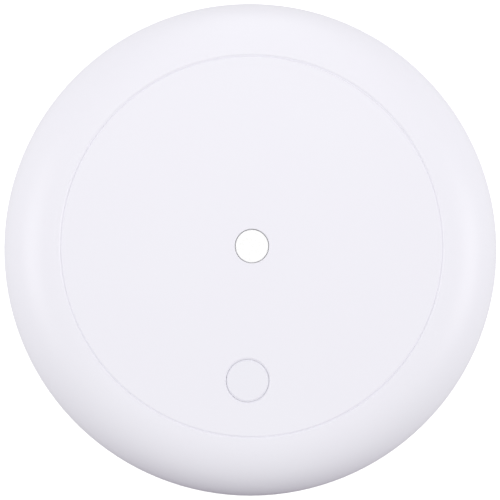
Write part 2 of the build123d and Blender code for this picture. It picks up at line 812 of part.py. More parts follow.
def detector_parts():
    """Every piece of the detector by its name."""
    test_place = (0.0, -button_offset)
    return {
        "rear_base": rear_base(),
        "snap_arms": snap_arms(),
        "front_cover": front_cover(),
        "acoustic_plug": acoustic_plug(),
        "test_button": test_button(),
        "microphone_boot": microphone_boot(),
        "microphone_capsule": microphone_capsule(),
        "microphone_leads": microphone_leads(),
        "microphone_felt": microphone_felt(),
        "circuit_board": circuit_board(),
        "board_screws": board_screws(),
        "test_switch_body": switch_body(test_place, test_plunger_diameter, button_travel),
        "test_switch_plate": switch_plate(test_place, test_plunger_diameter),
        "test_switch_plunger": plunger(test_place, test_plunger_diameter, test_plunger_rise, 0.0),
        "tamper_switch_body": switch_body(tamper_place, tamper_plunger_diameter, tamper_travel),
        "tamper_switch_plate": switch_plate(tamper_place, tamper_plunger_diameter),
        "tamper_plunger": plunger(tamper_place, tamper_plunger_diameter, tamper_plunger_rise, tamper_travel),
        "switch_leads": switch_leads(test_place, tamper_place),
        "dip_switch_body": dip_switch_body(),
        "dip_slider_1": dip_slider(0),
        "dip_slider_2": dip_slider(1),
        "controller_body": controller_body(),
        "controller_leads": controller_leads(),
        "radio_shield": radio_shield(),
        "radio_chip": radio_chip(),
        "timing_crystal": timing_crystal(),
        "capacitor_base": capacitor_base(),
        "bulk_capacitor": bulk_capacitor(),
        "status_led_body": status_led_body(),
        "status_led_lens": status_led_lens(),
        "antenna_strip": antenna_strip(),
        "chip_components": chip_components(),
        "battery_cell": battery_cell(),
        "battery_contact_positive": battery_contact(1),
        "battery_contact_negative": battery_contact(-1),
        "battery_spring": battery_spring(),
    }


os.makedirs("parts", exist_ok=True)
for name, part in detector_parts().items():
    export_step(part, f"parts/{name}.step")
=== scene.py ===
"""The looks of a battery-powered acoustic glass break detector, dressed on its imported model.

The frame is the part's own: its wall face lies on z = 0, +Z points out of the wall through the front face,
and +Y is up the wall. The camera, the lights and the floor are given in metres, and the small pieces in
millimetres.
"""

import json
import math

import bmesh
import bpy
from mathutils import Matrix, Vector


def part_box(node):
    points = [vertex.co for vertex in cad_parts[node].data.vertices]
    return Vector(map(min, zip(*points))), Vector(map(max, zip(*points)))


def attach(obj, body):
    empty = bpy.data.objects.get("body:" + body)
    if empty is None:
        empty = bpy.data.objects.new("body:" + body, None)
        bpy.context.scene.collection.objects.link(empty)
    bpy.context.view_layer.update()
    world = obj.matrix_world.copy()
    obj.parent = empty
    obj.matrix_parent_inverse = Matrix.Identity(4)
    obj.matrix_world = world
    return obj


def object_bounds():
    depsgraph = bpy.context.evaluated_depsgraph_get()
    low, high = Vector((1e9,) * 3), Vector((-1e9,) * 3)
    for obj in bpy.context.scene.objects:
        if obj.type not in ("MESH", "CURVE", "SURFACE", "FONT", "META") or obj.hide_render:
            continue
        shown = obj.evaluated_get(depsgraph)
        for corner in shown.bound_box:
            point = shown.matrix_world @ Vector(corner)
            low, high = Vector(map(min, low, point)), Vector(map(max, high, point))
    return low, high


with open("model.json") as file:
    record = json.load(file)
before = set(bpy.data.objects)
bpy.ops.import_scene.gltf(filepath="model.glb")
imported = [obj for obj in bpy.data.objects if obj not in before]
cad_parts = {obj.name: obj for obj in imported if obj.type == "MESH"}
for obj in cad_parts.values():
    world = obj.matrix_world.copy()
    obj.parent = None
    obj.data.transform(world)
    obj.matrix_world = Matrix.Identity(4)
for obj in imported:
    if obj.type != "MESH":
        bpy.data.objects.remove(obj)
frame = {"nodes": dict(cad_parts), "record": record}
cad_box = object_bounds()

millimetre = 0.001
nodes = frame["nodes"]

# The photo's side, where its port lies, and its scale there: pixels, and pixels in a metre
photo_side = 500.0
photo_port = (252.0, 246.05)
photo_port_scale = 5817.0

# The camera that took it, in metres and radians
camera_distance = 0.600
camera_below = math.radians(3.1)
camera_to_left = math.radians(1.3)
camera_roll = math.radians(1.84)
sensor_width = 0.036

# The light that falls on it: an even white tent, and a floor that is dark towards the bottom of the photo
tent_light = 0.704
floor_glow = 0.65
floor_gap_sharpness = 3.0
floor_seen_glow = 0.80
floor_side = 6.0

# Soft boxes: name, azimuth and elevation in degrees, distance and side in metres, and power in watts
softboxes = (
    ("right_box", 0.0, 30.0, 0.9, 0.5, 2.32),
    ("left_box", 180.0, 30.0, 0.9, 0.5, 2.23),
    ("top_low_box", 90.0, 15.0, 0.25, 0.125, 0.049),
    ("top_middle_box", 90.0, 45.0, 0.3, 0.15, 0.024),
    ("top_high_box", 90.0, 75.0, 0.2, 0.1, 0.023),
)

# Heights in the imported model, in millimetres, as everything is from here to the functions
board_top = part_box("circuit_board")[1].z / millimetre
base_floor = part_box("snap_arms")[0].z / millimetre
face_inside = 24.0

# How far a small piece reaches into what carries it, and the least radius of its corners
sunk = 0.03
least_corner = 0.01

# Finishes that stand for a marking: the cell's sleeve, and the black segment on the capacitor's top
sleeve_lip_radius = 6.8
sleeve_band_distance = 5.2
sleeve_band_width = 3.0
capacitor_mark_width = 1.8
capacitor_mark_depth = 0.25

# Solder joints: the lead and its pad, each as (start, end, half width) along the joint, and the rise
pad_height = 0.04
solder_steps = 4
controller_joint = ((-0.6, -0.2, 0.18), (-0.75, 0.28, 0.29), 0.16)
push_switch_joint = ((-0.65, 0.0, 0.35), (-0.75, 0.35, 0.5), 0.2)
chip_joint = ((-0.35, 0.02, 0.65), (-0.45, 0.45, 0.72), 0.36)
dip_joint = ((0.25, 0.9, 0.35), (0.15, 1.25, 0.5), 0.2)
lamp_joint = ((-0.3, 0.05, 0.9), (-0.4, 0.45, 1.1), 0.4)
crystal_joint = ((-0.4, 0.0, 0.35), (-0.6, 0.3, 0.5), 0.25)
crystal_joint_inset = 0.9
capacitor_joint = ((-0.2, 0.45, 0.3), (-0.4, 0.9, 0.7), 0.22)
antenna_joint = ((-0.8, 0.8, 0.2), (-1.25, 1.25, 0.75), 0.6)
antenna_radius = 30.2
antenna_leg_angles = (291.5, 302.17)
can_wall = 0.3
can_pad_border = 0.6
can_joint_rise = 0.4
can_joint_corners = (0.75, 1.1)
contact_tab_reach = 3.8
contact_tab_half_thickness = 0.15
contact_tab_set_back = 0.3
contact_pad_border = 0.6
contact_pad_set_back = 0.2
contact_pad_half_width = 0.9
contact_joint_rise = 0.6

# Bent leads of the sensitivity switch, as (distance from its body, height above the board)
dip_pitch = 2.54
dip_lead_half_width = 0.35
dip_lead_profile = ((-0.1, 1.3), (-0.1, 1.05), (0.15, 1.05), (0.15, 0.0), (0.9, 0.0), (0.9, 0.25),
                    (0.4, 0.25), (0.4, 1.3))

# Tinned ends, glaze and lid
chip_cap_length = 0.36
chip_cap_wall = 0.02
chip_cap_round = 0.05
lamp_cap_length = 0.16
lamp_cap_width = 1.8
lamp_cap_height = 0.8
lamp_cap_round = 0.03
glaze_inset = 0.05
glaze_thickness = 0.05
glaze_sunk = 0.02
glaze_corner = 0.08
glaze_edge_break = 0.02
crystal_lid_inset = 0.25
crystal_lid_thickness = 0.08
crystal_lid_corner = 0.35
crystal_lid_edge_break = 0.05

# Small round forms, each as (radius, height) from its foot, and how many sides the coarse and fine ones have
coarse_sides = 12
fine_sides = 32
via_profile = ((0.32, -sunk), (0.32, 0.045), (0.24, 0.07), (0.12, 0.05), (0.03, 0.045))
test_land_profile = ((0.55, -sunk), (0.55, 0.04), (0.45, 0.06), (0.02, 0.07))
fiducial_profile = ((0.5, -sunk), (0.5, 0.03), (0.02, 0.03))
screw_land_profile = ((2.8, -sunk), (2.8, 0.04), (1.3, 0.04), (1.3, -sunk))
rivet_profile = ((0.42, -sunk), (0.42, 0.08), (0.36, 0.16), (0.22, 0.22), (0.03, 0.24))
rivet_inset = 0.75
pin_one_dimple_profile = ((0.38, -0.02), (0.38, 0.006), (0.02, 0.006))
pin_one_dimple_inset = 0.9
ejector_profile = ((2.0, -sunk), (2.0, 0.03), (1.8, 0.03), (1.8, -sunk))

# White print on the board: its lines, and the ring round the microphone's boot, with its angles in degrees
print_width = 0.16
print_height = 0.05
print_dot_profile = ((0.28, -sunk), (0.28, print_height), (0.02, print_height))
boot_ring_radius = 6.6
boot_ring_angles = (12.0, 305.0)
chip_print_gap = 0.3
chip_print_length = 1.1

# Printed lines beside a part: the part, whether they run along X, their gap to it and their length
printed_sides = (
    ("test_switch_body", True, 0.3, 6.0),
    ("tamper_switch_body", True, 0.3, 6.0),
    ("dip_switch_body", False, 0.3, 6.0),
    ("timing_crystal", True, 0.35, 5.6),
    ("capacitor_base", True, 0.35, 6.6),
    ("status_led_body", True, 0.3, 3.2),
)

# Printed angles round a part: the part, their gap to it, their arms' length and which corners have them
printed_corners = (
    ("controller_body", 0.35, 0.5, ((-1, -1), (-1, 1), (1, -1), (1, 1))),
    ("radio_shield", 1.0, 1.6, ((-1, -1), (1, -1), (1, 1))),
)

# Copper tracks on the board, each from one part's land to another's. Where two kinds overlap, their heights
# keep their tops apart.
signal_width = 0.3
power_width = 0.6
battery_width = 1.1
signal_height = 0.033
power_height = 0.035
battery_height = 0.037
signal_tracks = (
    ((-8.2, -7.0), (-7.9, -7.0), (-7.6, -7.3), (6.6, -7.3)),
    ((-8.2, -6.0), (-7.5, -6.0), (-6.8, -6.7), (6.6, -6.7)),
    ((-8.2, -5.0), (-7.3, -5.0)),
    ((-8.2, -4.0), (-7.3, -4.0)),
    ((-8.2, -3.0), (-7.3, -3.0)),
    ((-15.5, -9.2), (-15.5, -11.5), (-17.3, -13.3)),
    ((-14.5, -9.2), (-14.5, -10.6)),
    ((-13.5, -9.2), (-13.5, -11.3), (-13.77, -11.6), (-13.77, -12.3)),
    ((-12.5, -9.2), (-12.5, -10.6)),
    ((-11.5, -9.2), (-11.5, -11.4), (-11.23, -11.7), (-11.23, -12.3)),
    ((-10.5, -9.2), (-10.5, -10.4), (-10.0, -10.9), (-6.8, -10.9), (-6.5, -10.6)),
    ((-17.7, -7.0), (-18.2, -7.5), (-18.2, -8.0)),
    ((-17.7, -4.0), (-18.5, -4.0)),
    ((-17.7, -3.0), (-18.5, -3.0)),
    ((-17.7, -2.0), (-19.5, -2.0), (-21.0, -0.5), (-21.0, 0.3)),
    ((-15.5, 0.2), (-15.5, 1.9), (-15.9, 2.3)),
    ((-14.5, 0.2), (-14.5, 2.6)),
    ((-12.5, 0.2), (-12.5, 1.3)),
    ((-11.5, 0.2), (-11.5, 2.6)),
    ((-10.5, 0.2), (-10.5, 0.8), (-9.9, 1.4), (-8.2, 1.4), (-7.8, 1.8), (-7.8, 2.1)),
    ((-26.4, -5.25), (-27.1, -4.55), (-27.1, -1.3), (-23.0, 2.8), (-21.4, 2.8)),
    ((-5.6, -19.4), (-5.6, -13.4), (-4.6, -12.4)),
    ((-1.9, -12.4), (-0.6, -12.4), (0.8, -11.0), (1.3, -11.0)),
    ((3.9, -11.0), (4.1, -11.0), (4.6, -11.5), (4.6, -12.9)),
    ((4.6, -15.5), (4.6, -17.0), (8.7, -21.1), (8.7, -22.8)),
    ((-11.23, -20.7), (-11.23, -23.0), (-9.53, -24.7), (-4.3, -24.7)),
    ((-4.3, -21.6), (-4.8, -21.9), (-5.4, -21.9)),
    ((-13.77, -20.7), (-13.77, -22.0)),
    ((-19.4, -17.7), (-19.4, -15.2), (-19.9, -14.7), (-19.9, -13.7)),
    ((-19.4, -20.3), (-19.4, -21.4)),
    ((8.7, -15.4), (8.0, -14.7), (8.0, -13.0)),
    ((22.0, 3.2), (22.0, 0.8), (24.2, -1.4), (24.2, -2.6)),
)
power_tracks = (
    ((7.9, 4.2), (7.2, 4.2), (6.0, 5.4), (6.0, 6.3), (5.1, 7.2), (-6.8, 7.2), (-7.8, 6.2), (-7.8, 4.8)),
    ((11.2, -15.4), (12.8, -15.4)),
    ((15.2, -15.4), (15.5, -15.4), (16.1, -16.0), (16.1, -25.0)),
    ((12.0, -15.1), (12.0, -12.9)),
)
battery_tracks = (
    ((18.8, 6.0), (17.0, 6.0), (15.8, 4.8), (15.8, 4.2)),
    ((-18.8, 6.0), (-17.4, 6.0)),
)
via_places = (
    (-7.3, -5.0), (-7.3, -4.0), (-7.3, -3.0), (-14.5, -10.7), (-12.5, -10.7), (-18.5, -4.0), (-18.5, -3.0),
    (-12.5, 1.4), (-13.77, -22.2), (-19.4, -21.6), (24.2, -2.8), (-17.3, 5.3), (-17.3, 6.0), (-17.3, 6.7),
    (18.4, -13.5), (26.0, 6.4), (24.6, -12.0), (0.0, -15.6), (1.4, -26.9), (-8.6, -28.6),
)
test_land_start = (-27.2, 6.4)
test_land_pitch = 1.7
test_land_count = 4
fiducial_places = ((-30.8, -5.0), (32.6, -4.2), (-12.5, -30.4))
pin_one_dots = ((-17.4, -8.9), (-16.9, -13.2), (15.4, 7.4))
blank_panel = ((24.6, -7.6), (30.0, -4.2))
blank_panel_corner = 0.3

# Where the moulds' ejector pins pushed
base_ejector_places = ((-8.0, 31.5), (8.0, 31.5), (-25.5, 22.5), (25.5, 22.5))
cover_ejector_radius = 26.0
cover_ejector_angles = range(15, 375, 45)


def linear(hexadecimal):
    """A colour's linear values from its sRGB hex value."""
    channels = [int(hexadecimal[start:start + 2], 16) / 255 for start in (1, 3, 5)]
    return tuple(value / 12.92 if value <= 0.04045 else ((value + 0.055) / 1.055) ** 2.4
                 for value in channels) + (1.0,)


def per(size_mm):
    """The texture scale at which one feature is this many millimetres wide."""
    return 1000.0 / size_mm


def link(node, sources):
    """Links sources into a node's sockets."""
    for name, source in sources.items():
        node.id_data.links.new(source, node.inputs[name])


def add(tree, kind, settings=None, links=None):
    """Adds a node to a material, with its settings and with links into its sockets."""
    node = tree.nodes.new("ShaderNode" + kind)
    for name, value in (settings or {}).items():
        if isinstance(name, int) or name in node.inputs:
            node.inputs[name].default_value = value
        else:
            setattr(node, name, value)
    link(node, links or {})
    return node


def empty_tree(owner):
    """The node tree of a material or a world, cleared."""
    owner.use_nodes = True
    owner.node_tree.nodes.clear()
    return owner.node_tree


def new_object(name, data):
    """Puts an object with its data in the scene."""
    thing = bpy.data.objects.new(name, data)
    bpy.context.scene.collection.objects.link(thing)
    return thing


def new_material(name, settings):
    """A material with its shader, and the coordinates of the object that wears it."""
    material = bpy.data.materials.new(name)
    tree = empty_tree(material)
    shader = add(tree, "BsdfPrincipled", settings)
    add(tree, "OutputMaterial", links={"Surface": shader.outputs["BSDF"]})
    place = add(tree, "TexCoord").outputs["Object"]
    return material, tree, shader, place


def moulded_abs(name, colour, pale):
    """Satin ABS from a finely spark-eroded mould: a soft broad gloss over an even, barely mottled white."""
    material, tree, shader, place = new_material(name, {"IOR": 1.54, "Roughness": 0.42})
    flow = add(tree, "TexNoise", {"Scale": per(18.0), "Detail": 2.0, "Roughness": 0.5}, {"Vector": place})
    tint = add(tree, "Mix", {"data_type": "RGBA", 6: linear(colour), 7: linear(pale)},
               {0: flow.outputs["Fac"]})
    # The real grain is about 0.1 mm, too fine to show, so it is drawn at 0.3 mm
    grain = add(tree, "TexNoise", {"Scale": per(0.3), "Detail": 3.0, "Roughness": 0.6}, {"Vector": place})
    gloss = add(tree, "MapRange", {"To Min": 0.38, "To Max": 0.47}, {"Value": grain.outputs["Fac"]})
    relief = add(tree, "Bump", {"Strength": 0.25, "Distance": 0.000012}, {"Height": grain.outputs["Fac"]})
    link(shader, {"Base Color": tint.outputs[2], "Roughness": gloss.outputs[0], "Normal": relief.outputs[0]})
    return material


def sintered_polyethylene():
    """Porous sintered polyethylene: chalk-white fused beads of about 0.2 mm that scatter light evenly, with
    painted shade greying the pores between them.
    """
    material, tree, shader, place = new_material("sintered_polyethylene", {"IOR": 1.51, "Roughness": 0.85})
    beads = add(tree, "TexVoronoi", {"Scale": per(0.24)}, {"Vector": place})
    # Painted shade: the tint greys towards each bead's edge, in the pores where the beads meet
    shade = add(tree, "MapRange", {"From Min": 0.2, "From Max": 0.9}, {"Value": beads.outputs["Distance"]})
    tint = add(tree, "Mix", {"data_type": "RGBA", 6: linear("#FFFFFF"), 7: linear("#F6F6F5")},
               {0: shade.outputs[0]})
    relief = add(tree, "Bump", {"Strength": 0.5, "Distance": 0.00004, "invert": True},
                 {"Height": beads.outputs["Distance"]})
    link(shader, {"Base Color": tint.outputs[2], "Normal": relief.outputs[0]})
    return material


def silicone_rubber():
    """Moulded silicone: charcoal, matte and slightly dusty where it is rubbed."""
    material, tree, shader, place = new_material("silicone_rubber", {
        "IOR": 1.41, "Roughness": 0.6, "Sheen Weight": 0.15, "Sheen Roughness": 0.5})
    dust = add(tree, "TexNoise", {"Scale": per(1.5), "Detail": 4.0}, {"Vector": place})
    tint = add(tree, "Mix", {"data_type": "RGBA", 6: linear("#232326"), 7: linear("#39393D")},
               {0: dust.outputs["Fac"]})
    relief = add(tree, "Bump", {"Strength": 0.2, "Distance": 0.00002}, {"Height": dust.outputs["Fac"]})
    link(shader, {"Base Color": tint.outputs[2], "Normal": relief.outputs[0]})
    return material


def drawn_metal(name, colour, dull, roughness, line_mm, along):
    """Sheet or drawn metal with fine lines along one direction, a little duller in patches."""
    material, tree, shader, place = new_material(name, {"Metallic": 1.0, "Roughness": roughness})
    stretch = tuple(0.04 if axis == along else 1.0 for axis in range(3))
    lines = add(tree, "Mapping", {"Scale": stretch}, {"Vector": place})
    fine = add(tree, "TexNoise", {"Scale": per(line_mm), "Detail": 3.0}, {"Vector": lines.outputs[0]})
    patch = add(tree, "TexNoise", {"Scale": per(2.5), "Detail": 2.0}, {"Vector": place})
    tint = add(tree, "Mix", {"data_type": "RGBA", 6: linear(colour), 7: linear(dull)},
               {0: patch.outputs["Fac"]})
    gloss = add(tree, "MapRange", {"To Min": roughness - 0.08, "To Max": roughness + 0.10},
                {"Value": fine.outputs["Fac"]})
    relief = add(tree, "Bump", {"Strength": 0.15, "Distance": 0.00001}, {"Height": fine.outputs["Fac"]})
    link(shader, {"Base Color": tint.outputs[2], "Roughness": gloss.outputs[0], "Normal": relief.outputs[0]})
    return material


def pressed_felt():
    """Black wool felt: a soft fibrous nap that catches light at its edge."""
    material, tree, shader, place = new_material("pressed_felt", {
        "Roughness": 0.95, "Sheen Weight": 0.4, "Sheen Roughness": 0.6})
    fibres = add(tree, "TexNoise", {"Scale": per(0.2), "Detail": 5.0, "Distortion": 2.0}, {"Vector": place})
    tint = add(tree, "Mix", {"data_type": "RGBA", 6: linear("#0B0B0C"), 7: linear("#2A2A2C")},
               {0: fibres.outputs["Fac"]})
    relief = add(tree, "Bump", {"Strength": 0.8, "Distance": 0.00008}, {"Height": fibres.outputs["Fac"]})
    link(shader, {"Base Color": tint.outputs[2], "Normal": relief.outputs[0]})
    return material


def solder_masked_laminate():
    """Glass-fibre laminate under green solder mask: a glossy green face, with tan fibre at the cut edge."""
    material, tree, shader, place = new_material("solder_masked_laminate", {"IOR": 1.55, "Roughness": 0.28})
    parts = add(tree, "SeparateXYZ", links={"Vector": add(tree, "NewGeometry").outputs["Normal"]})
    upright = add(tree, "Math", {"operation": "ABSOLUTE"}, {0: parts.outputs["Z"]})
    face = add(tree, "Math", {"operation": "GREATER_THAN", 1: 0.5}, {0: upright.outputs[0]})
    # The glass cloth's threads are about 0.5 mm apart
    threads = per(0.5) / (2 * math.pi)
    warp = add(tree, "TexWave", {"Scale": threads, "bands_direction": "X"}, {"Vector": place})
    weft = add(tree, "TexWave", {"Scale": threads, "bands_direction": "Y"}, {"Vector": place})
    cloth = add(tree, "Math", {"operation": "MULTIPLY"}, {0: warp.outputs["Fac"], 1: weft.outputs["Fac"]})
    mask = add(tree, "Mix", {"data_type": "RGBA", 6: linear("#124F2F"), 7: linear("#145534")},
               {0: cloth.outputs[0]})
    tint = add(tree, "Mix", {"data_type": "RGBA", 6: linear("#A8946A")},
               {0: face.outputs[0], 7: mask.outputs[2]})
    gloss = add(tree, "MapRange", {"To Min": 0.75, "To Max": 0.27}, {"Value": face.outputs[0]})
    relief = add(tree, "Bump", {"Strength": 0.12, "Distance": 0.00001}, {"Height": cloth.outputs[0]})
    link(shader, {"Base Color": tint.outputs[2], "Roughness": gloss.outputs[0], "Normal": relief.outputs[0]})
    return material


def moulded_nylon(name, colour, pale, roughness, grain_mm=0.25):
    """Nylon or epoxy straight from the mould: even colour, with a fine matte grain."""
    material, tree, shader, place = new_material(name, {"IOR": 1.53, "Roughness": roughness})
    grain = add(tree, "TexNoise", {"Scale": per(grain_mm), "Detail": 4.0, "Roughness": 0.65},
                {"Vector": place})
    tint = add(tree, "Mix", {"data_type": "RGBA", 6: linear(colour), 7: linear(pale)},
               {0: grain.outputs["Fac"]})
    relief = add(tree, "Bump", {"Strength": 0.3, "Distance": 0.000012}, {"Height": grain.outputs["Fac"]})
    link(shader, {"Base Color": tint.outputs[2], "Normal": relief.outputs[0]})
    return material


def clear_epoxy_over_phosphor():
    """The lamp's lens: glossy clear epoxy over pale yellow phosphor powder."""
    material, tree, shader, place = new_material("clear_epoxy_over_phosphor", {
        "IOR": 1.52, "Roughness": 0.12, "Coat Weight": 1.0, "Coat Roughness": 0.05})
    powder = add(tree, "TexNoise", {"Scale": per(0.15), "Detail": 3.0}, {"Vector": place})
    tint = add(tree, "Mix", {"data_type": "RGBA", 6: linear("#E9E3A4"), 7: linear("#F4EFC2")},
               {0: powder.outputs["Fac"]})
    link(shader, {"Base Color": tint.outputs[2]})
    return material


def reflowed_solder():
    """Tin solder as it froze: bright, with a faint frost of crystals."""
    material, tree, shader, place = new_material("reflowed_solder", {"Metallic": 1.0, "Roughness": 0.22})
    frost = add(tree, "TexNoise", {"Scale": per(0.12), "Detail": 3.0}, {"Vector": place})
    tint = add(tree, "Mix", {"data_type": "RGBA", 6: linear("#DCDCDA"), 7: linear("#C4C4C1")},
               {0: frost.outputs["Fac"]})
    gloss = add(tree, "MapRange", {"To Min": 0.14, "To Max": 0.34}, {"Value": frost.outputs["Fac"]})
    relief = add(tree, "Bump", {"Strength": 0.2, "Distance": 0.00001}, {"Height": frost.outputs["Fac"]})
    link(shader, {"Base Color": tint.outputs[2], "Roughness": gloss.outputs[0], "Normal": relief.outputs[0]})
    return material


def masked_copper():
    """Copper under the solder mask: the board's gloss, in the lighter green that metal below gives it."""
    material, tree, shader, place = new_material("masked_copper", {"IOR": 1.55, "Roughness": 0.26})
    pool = add(tree, "TexNoise", {"Scale": per(1.2), "Detail": 2.0}, {"Vector": place})
    tint = add(tree, "Mix", {"data_type": "RGBA", 6: linear("#1F7A47"), 7: linear("#2A8A52")},
               {0: pool.outputs["Fac"]})
    link(shader, {"Base Color": tint.outputs[2]})
    return material


def shrink_sleeve_on_steel():
    """A cell's shrink sleeve: glossy film on its side with one pale band, and bare steel inside its ends."""
    material, tree, shader, place = new_material("shrink_sleeve_on_steel", {"IOR": 1.54, "Roughness": 0.22})
    low, high = box_of("battery_cell")
    centre = ((low + high) / 2) * millimetre
    parts = add(tree, "SeparateXYZ", links={"Vector": place})
    across = add(tree, "CombineXYZ", links={"Y": parts.outputs["Y"], "Z": parts.outputs["Z"]})
    off_axis = add(tree, "VectorMath", {"operation": "DISTANCE", 1: (0.0, centre.y, centre.z)},
                   {0: across.outputs[0]})
    film = add(tree, "Math", {"operation": "GREATER_THAN", 1: sleeve_lip_radius * millimetre},
               {0: off_axis.outputs["Value"]})
    band_middle = (high.x - sleeve_band_distance) * millimetre
    offset = add(tree, "Math", {"operation": "SUBTRACT", 1: band_middle}, {0: parts.outputs["X"]})
    away = add(tree, "Math", {"operation": "ABSOLUTE"}, {0: offset.outputs[0]})
    band = add(tree, "Math", {"operation": "LESS_THAN", 1: sleeve_band_width / 2 * millimetre},
               {0: away.outputs[0]})
    flow = add(tree, "TexNoise", {"Scale": per(6.0), "Detail": 2.0}, {"Vector": place})
    dye = add(tree, "Mix", {"data_type": "RGBA", 6: linear("#39435A"), 7: linear("#434F68")},
              {0: flow.outputs["Fac"]})
    print_colour = add(tree, "Mix", {"data_type": "RGBA", 7: linear("#B9BDC6")},
                       {0: band.outputs[0], 6: dye.outputs[2]})
    tint = add(tree, "Mix", {"data_type": "RGBA", 6: linear("#C9C6BE")},
               {0: film.outputs[0], 7: print_colour.outputs[2]})
    bare = add(tree, "Math", {"operation": "SUBTRACT", 0: 1.0}, {1: film.outputs[0]})
    # The film draws into faint rings about 1.5 mm apart as it shrinks
    rings = add(tree, "TexWave", {
        "Scale": per(1.5) / (2 * math.pi), "bands_direction": "X", "Distortion": 3.0}, {"Vector": place})
    relief = add(tree, "Bump", {"Strength": 0.15, "Distance": 0.00002}, {"Height": rings.outputs["Fac"]})
    link(shader, {"Base Color": tint.outputs[2], "Metallic": bare.outputs[0], "Normal": relief.outputs[0]})
    return material


def marked_aluminium_can():
    """A capacitor's drawn can, with the black segment on its top that marks one side."""
    material = drawn_metal("aluminium_can", "#DADADD", "#C6C6CA", 0.30, 0.15, 2)
    tree = material.node_tree
    shader = tree.nodes["Principled BSDF"]
    low, high = box_of("bulk_capacitor")
    parts = add(tree, "SeparateXYZ", links={"Vector": add(tree, "TexCoord").outputs["Object"]})
    side = add(tree, "Math", {"operation": "LESS_THAN", 1: (low.x + capacitor_mark_width) * millimetre},
               {0: parts.outputs["X"]})
    top = add(tree, "Math", {"operation": "GREATER_THAN", 1: (high.z - capacitor_mark_depth) * millimetre},
              {0: parts.outputs["Z"]})
    mark = add(tree, "Math", {"operation": "MULTIPLY"}, {0: side.outputs[0], 1: top.outputs[0]})
    metal = add(tree, "Math", {"operation": "SUBTRACT", 0: 1.0}, {1: mark.outputs[0]})
    base = shader.inputs["Base Color"].links[0].from_socket
    tint = add(tree, "Mix", {"data_type": "RGBA", 7: linear("#1B1B1E")}, {0: mark.outputs[0], 6: base})
    link(shader, {"Base Color": tint.outputs[2], "Metallic": metal.outputs[0]})
    return material


def screen_ink():
    """White epoxy ink through a screen: flat, slightly uneven in cover."""
    material, tree, shader, place = new_material("screened_epoxy_ink", {"IOR": 1.5, "Roughness": 0.5})
    cover = add(tree, "TexNoise", {"Scale": per(0.3), "Detail": 3.0}, {"Vector": place})
    tint = add(tree, "Mix", {"data_type": "RGBA", 6: linear("#D4D8D2"), 7: linear("#F0F2EE")},
               {0: cover.outputs["Fac"]})
    link(shader, {"Base Color": tint.outputs[2]})
    return material


def build_materials():
    """One material for each of the record's slots."""
    return {
        "cover_abs": moulded_abs("satin_abs_cover", "#EBE9F1", "#ECEBF2"),
        "button_abs": moulded_abs("satin_abs_button", "#E9E8F0", "#EBEAF1"),
        "base_abs": moulded_abs("satin_abs_base", "#E6E5EB", "#E9E8EE"),
        "sintered_plug": sintered_polyethylene(),
        "boot_silicone": silicone_rubber(),
        "capsule_aluminium": drawn_metal("drawn_aluminium", "#D9D9DC", "#BDBDC1", 0.32, 0.2, 2),
        "black_felt": pressed_felt(),
        "green_board": solder_masked_laminate(),
        "zinc_screws": drawn_metal("zinc_plated_steel", "#C9CBD2", "#AEB2BC", 0.34, 0.15, 2),
        "black_nylon": moulded_nylon("glass_filled_nylon", "#17171A", "#212126", 0.55),
        "white_nylon": moulded_nylon("natural_nylon", "#E6E4DC", "#EFEDE6", 0.45),
        "blue_nylon": moulded_nylon("blue_nylon", "#1C3A78", "#24468A", 0.5),
        "black_epoxy": moulded_nylon("moulded_epoxy", "#1A1A1C", "#252528", 0.62, 0.12),
        "tinned_leads": drawn_metal("tinned_copper", "#D6D5D2", "#BFBDB8", 0.30, 0.1, 2),
        "tinned_steel": drawn_metal("tinplate", "#CFCECB", "#B9B7B2", 0.33, 0.15, 0),
        "nickel_steel": drawn_metal("nickel_plated_spring_steel", "#D4CFC4", "#BDB7AA", 0.28, 0.12, 1),
        "nickel_can": drawn_metal("nickel_plated_can", "#D2CEC5", "#C0BBB0", 0.25, 0.12, 0),
        "capacitor_can": marked_aluminium_can(),
        "led_lens": clear_epoxy_over_phosphor(),
        "chip_ceramic": moulded_nylon("fired_ceramic", "#8A7558", "#9C8769", 0.5, 0.15),
        "cell_sleeve": shrink_sleeve_on_steel(),
    }


def dress_nodes(materials):
    """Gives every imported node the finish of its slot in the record."""
    slot_of = {part["node"]: part["material_slot"] for part in frame["record"]["subparts"]}
    for name, node in nodes.items():
        node.data.materials.clear()
        node.data.materials.append(materials[slot_of[name]])


def skin(mesh, rings, joined=False):
    """Joins rings of points in order, closed with a face at each end or, if joined, end to end."""
    rows = [[mesh.verts.new(point) for point in ring] for ring in rings]
    for row, beyond in zip(rows, rows[1:] + rows[:1] if joined else rows[1:]):
        for index, vertex in enumerate(row):
            mesh.faces.new((row[index - 1], vertex, beyond[index], beyond[index - 1]))
    if not joined:
        mesh.faces.new(rows[0])
        mesh.faces.new(rows[-1])


def rounded_outline(low, high, corner, height, steps=3):
    """Points round a rectangle whose corners are rounded, at one height."""
    points = []
    centres = ((high[0] - corner, high[1] - corner), (low[0] + corner, high[1] - corner),
               (low[0] + corner, low[1] + corner), (high[0] - corner, low[1] + corner))
    for quarter, (x, y) in enumerate(centres):
        for step in range(steps + 1):
            angle = (quarter + step / steps) * math.pi / 2
            points.append(Vector((x + corner * math.cos(angle), y + corner * math.sin(angle), height)))
    return points


def rounded_block(mesh, place, length, width, height, corner, edge_break):
    """A small block on a place, with rounded corners and a broken top edge."""
    half = (length / 2, width / 2)
    inset = [side - edge_break for side in half]
    rings = [rounded_outline((-half[0], -half[1]), half, corner, level)
             for level in (-sunk, height - edge_break)]
    corner = max(corner - edge_break, least_corner)
    rings.append(rounded_outline((-inset[0], -inset[1]), inset, corner, height))
    skin(mesh, [[place @ point for point in ring] for ring in rings])


def turned(mesh, centre, base, profile, steps=16, joined=False):
    """A round form on an upright axis, from points given as (radius, height above its base)."""
    angles = [2 * math.pi * step / steps for step in range(steps)]
    skin(mesh, [[(centre[0] + radius * math.cos(angle), centre[1] + radius * math.sin(angle), base + height)
                 for angle in angles] for radius, height in profile], joined)


